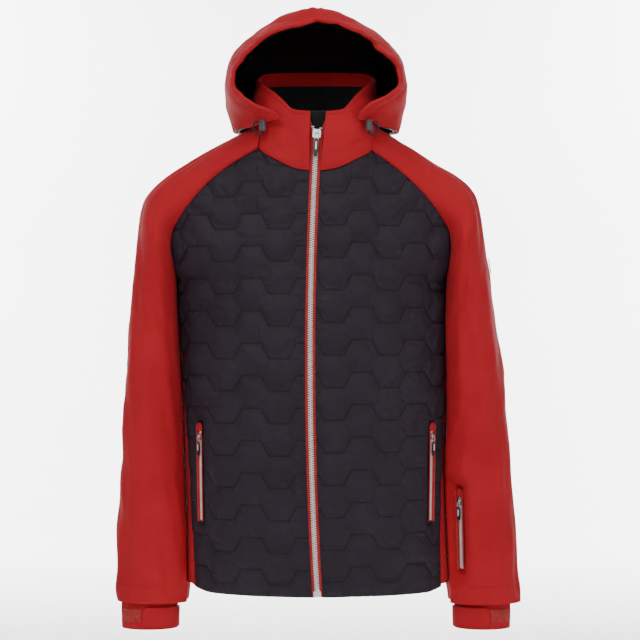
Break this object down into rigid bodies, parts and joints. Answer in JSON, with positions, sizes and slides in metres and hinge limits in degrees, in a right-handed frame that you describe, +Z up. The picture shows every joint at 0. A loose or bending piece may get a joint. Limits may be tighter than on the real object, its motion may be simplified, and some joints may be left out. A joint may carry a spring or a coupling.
{
  "type": "ski jacket",
  "caption": "Padded hooded ski jacket with raglan sleeves, quilted fronts, stand collar, full-length front zip, zipped hand and forearm pockets and tabbed cuffs.",
  "frame": {"origin": "the middle of the neck opening, level with the front neck points, where a hanger's hook comes out", "axes": "+X to the wearer's left, +Y to the wearer's back, +Z up; the front zip faces -Y"},
  "size_m": [0.6568, 0.2952, 1.017],
  "materials": {
    "shell_cloth": "woven, waterproof coated, slight satin sheen",
    "quilted_cloth": "padded, matte, with an embossed wave quilting",
    "lining_cloth": "plain woven taffeta",
    "fleece": "short brushed fleece",
    "zip_tape": "woven tape",
    "zip_teeth": "moulded teeth",
    "slider_metal": "bright plated",
    "pull_rubber": "moulded, satin",
    "hook_patch": "hook tape",
    "lock_plastic": "moulded",
    "elastic": "round elastic cord"
  },
  "bodies": {
    "jacket": {"back_panel": "shell_cloth", "collar": "shell_cloth", "collar_lining": "fleece", "front_panel_left": "quilted_cloth", "front_panel_right": "quilted_cloth", "hanger_loop": "lining_cloth", "hem_facing": "shell_cloth", "hood_elastics": "elastic", "lining_back": "lining_cloth", "lining_front_left": "lining_cloth", "lining_front_right": "lining_cloth", "main_tape": "zip_tape", "main_teeth_left": "zip_teeth", "main_teeth_right": "zip_teeth", "main_zip_box": "zip_teeth", "pocket_bag_left": "lining_cloth", "pocket_bag_right": "lining_cloth", "pocket_garages": "shell_cloth", "pocket_tape_left": "zip_tape", "pocket_tape_right": "zip_tape", "pocket_teeth_left": "zip_teeth", "pocket_teeth_right": "zip_teeth", "shoulder_left": "shell_cloth", "shoulder_right": "shell_cloth", "side_panel_left": "shell_cloth", "side_panel_right": "shell_cloth", "storm_flap": "fleece"},
    "hood": {"hood_shell": "shell_cloth", "hood_lining": "lining_cloth"},
    "cord_lock_right": {"cord_lock_right": "lock_plastic"},
    "lock_button_right": {"lock_button_right": "lock_plastic"},
    "upper_arm_right": {"upper_sleeve_right": "shell_cloth", "upper_lining_right": "lining_cloth"},
    "forearm_right": {"lower_sleeve_right": "shell_cloth", "lower_lining_right": "lining_cloth", "cuff_right": "shell_cloth", "cuff_patch_right": "hook_patch"},
    "cuff_tab_right": {"cuff_tab_right": "shell_cloth"},
    "pocket_slider_right": {"pocket_slider_right": "slider_metal"},
    "pocket_pull_right": {"pocket_pull_right": "pull_rubber"},
    "cord_lock_left": {"cord_lock_left": "lock_plastic"},
    "lock_button_left": {"lock_button_left": "lock_plastic"},
    "upper_arm_left": {"upper_sleeve_left": "shell_cloth", "upper_lining_left": "lining_cloth", "sleeve_badge": "pull_rubber"},
    "forearm_left": {"lower_sleeve_left": "shell_cloth", "lower_lining_left": "lining_cloth", "cuff_left": "shell_cloth", "cuff_patch_left": "hook_patch", "sleeve_pocket_tape": "zip_tape", "sleeve_pocket_teeth": "zip_teeth", "sleeve_pocket_garage": "shell_cloth"},
    "cuff_tab_left": {"cuff_tab_left": "shell_cloth"},
    "pocket_slider_left": {"pocket_slider_left": "slider_metal"},
    "pocket_pull_left": {"pocket_pull_left": "pull_rubber"},
    "main_slider": {"main_slider": "slider_metal"},
    "main_pull": {"main_pull_ring": "slider_metal", "main_pull_tab": "pull_rubber"},
    "arm_slider": {"sleeve_pocket_slider": "slider_metal"},
    "arm_pull": {"sleeve_pocket_pull": "pull_rubber"}
  },
  "joints": [
    {"name": "main_zip_slide", "type": "hinge", "parent": "jacket", "child": "main_slider", "pos_m": [0.6146, 1.73963, -0.42533], "axis": [-0.9492, 0.3143, -0.0135], "range_deg": [-20.8, 0]},
    {"name": "main_pull_swing", "type": "hinge", "parent": "main_slider", "child": "main_pull", "pos_m": [0.00155, -0.09738, 0.01772], "axis": [-0.9984, 0.0123, 0.0558], "range_deg": [0, 150]},
    {"name": "pocket_zip_slide_right", "type": "slide", "parent": "jacket", "child": "pocket_slider_right", "axis": [0.0142, 0.0116, -0.9998], "range_m": [0, 0.128]},
    {"name": "pocket_pull_swing_right", "type": "hinge", "parent": "pocket_slider_right", "child": "pocket_pull_right", "pos_m": [-0.18999, -0.07175, -0.47005], "axis": [-0.6326, 0.7745, 0], "range_deg": [0, 150]},
    {"name": "pocket_zip_slide_left", "type": "slide", "parent": "jacket", "child": "pocket_slider_left", "axis": [-0.0142, 0.0116, -0.9998], "range_m": [0, 0.128]},
    {"name": "pocket_pull_swing_left", "type": "hinge", "parent": "pocket_slider_left", "child": "pocket_pull_left", "pos_m": [0.18999, -0.07175, -0.47005], "axis": [-0.6326, -0.7745, 0], "range_deg": [0, 150]},
    {"name": "arm_zip_slide", "type": "slide", "parent": "forearm_left", "child": "arm_slider", "axis": [0.0285, 0.0617, -0.9977], "range_m": [0, 0.102]},
    {"name": "arm_pull_swing", "type": "hinge", "parent": "arm_slider", "child": "arm_pull", "pos_m": [0.23131, -0.04909, -0.57815], "axis": [-0.7323, 0.6806, 0.0212], "range_deg": [0, 150]},
    {"name": "shoulder_raise_right", "type": "hinge", "parent": "jacket", "child": "upper_arm_right", "pos_m": [-0.272, 0, -0.084], "axis": [0, 1, 0], "range_deg": [0, 45]},
    {"name": "elbow_bend_right", "type": "hinge", "parent": "upper_arm_right", "child": "forearm_right", "pos_m": [-0.26446, -0.078, -0.4], "axis": [-1, 0, 0], "range_deg": [0, 60]},
    {"name": "cuff_tab_peel_right", "type": "hinge", "parent": "forearm_right", "child": "cuff_tab_right", "pos_m": [-0.22638, 0, -0.77], "axis": [0, 0, 1], "range_deg": [0, 70]},
    {"name": "cord_lock_slide_right", "type": "slide", "parent": "jacket", "child": "cord_lock_right", "axis": [-0.5145, -0.8575, 0], "range_m": [0, 0.004]},
    {"name": "lock_button_press_right", "type": "slide", "parent": "cord_lock_right", "child": "lock_button_right", "axis": [0, 0, -1], "range_m": [0, 0.0025], "stiffness_N_per_m": 500},
    {"name": "shoulder_raise_left", "type": "hinge", "parent": "jacket", "child": "upper_arm_left", "pos_m": [0.272, 0, -0.084], "axis": [0, -1, 0], "range_deg": [0, 45]},
    {"name": "elbow_bend_left", "type": "hinge", "parent": "upper_arm_left", "child": "forearm_left", "pos_m": [0.26446, -0.078, -0.4], "axis": [-1, 0, 0], "range_deg": [0, 60]},
    {"name": "cuff_tab_peel_left", "type": "hinge", "parent": "forearm_left", "child": "cuff_tab_left", "pos_m": [0.22638, 0, -0.77], "axis": [0, 0, -1], "range_deg": [0, 70]},
    {"name": "cord_lock_slide_left", "type": "slide", "parent": "jacket", "child": "cord_lock_left", "axis": [0.5145, -0.8575, 0], "range_m": [0, 0.004]},
    {"name": "lock_button_press_left", "type": "slide", "parent": "cord_lock_left", "child": "lock_button_left", "axis": [0, 0, -1], "range_m": [0, 0.0025], "stiffness_N_per_m": 500},
    {"name": "hood_tilt", "type": "hinge", "parent": "jacket", "child": "hood", "pos_m": [0, 0.104, 0.024], "axis": [-1, 0, 0], "range_deg": [0, 40]}
  ]
}
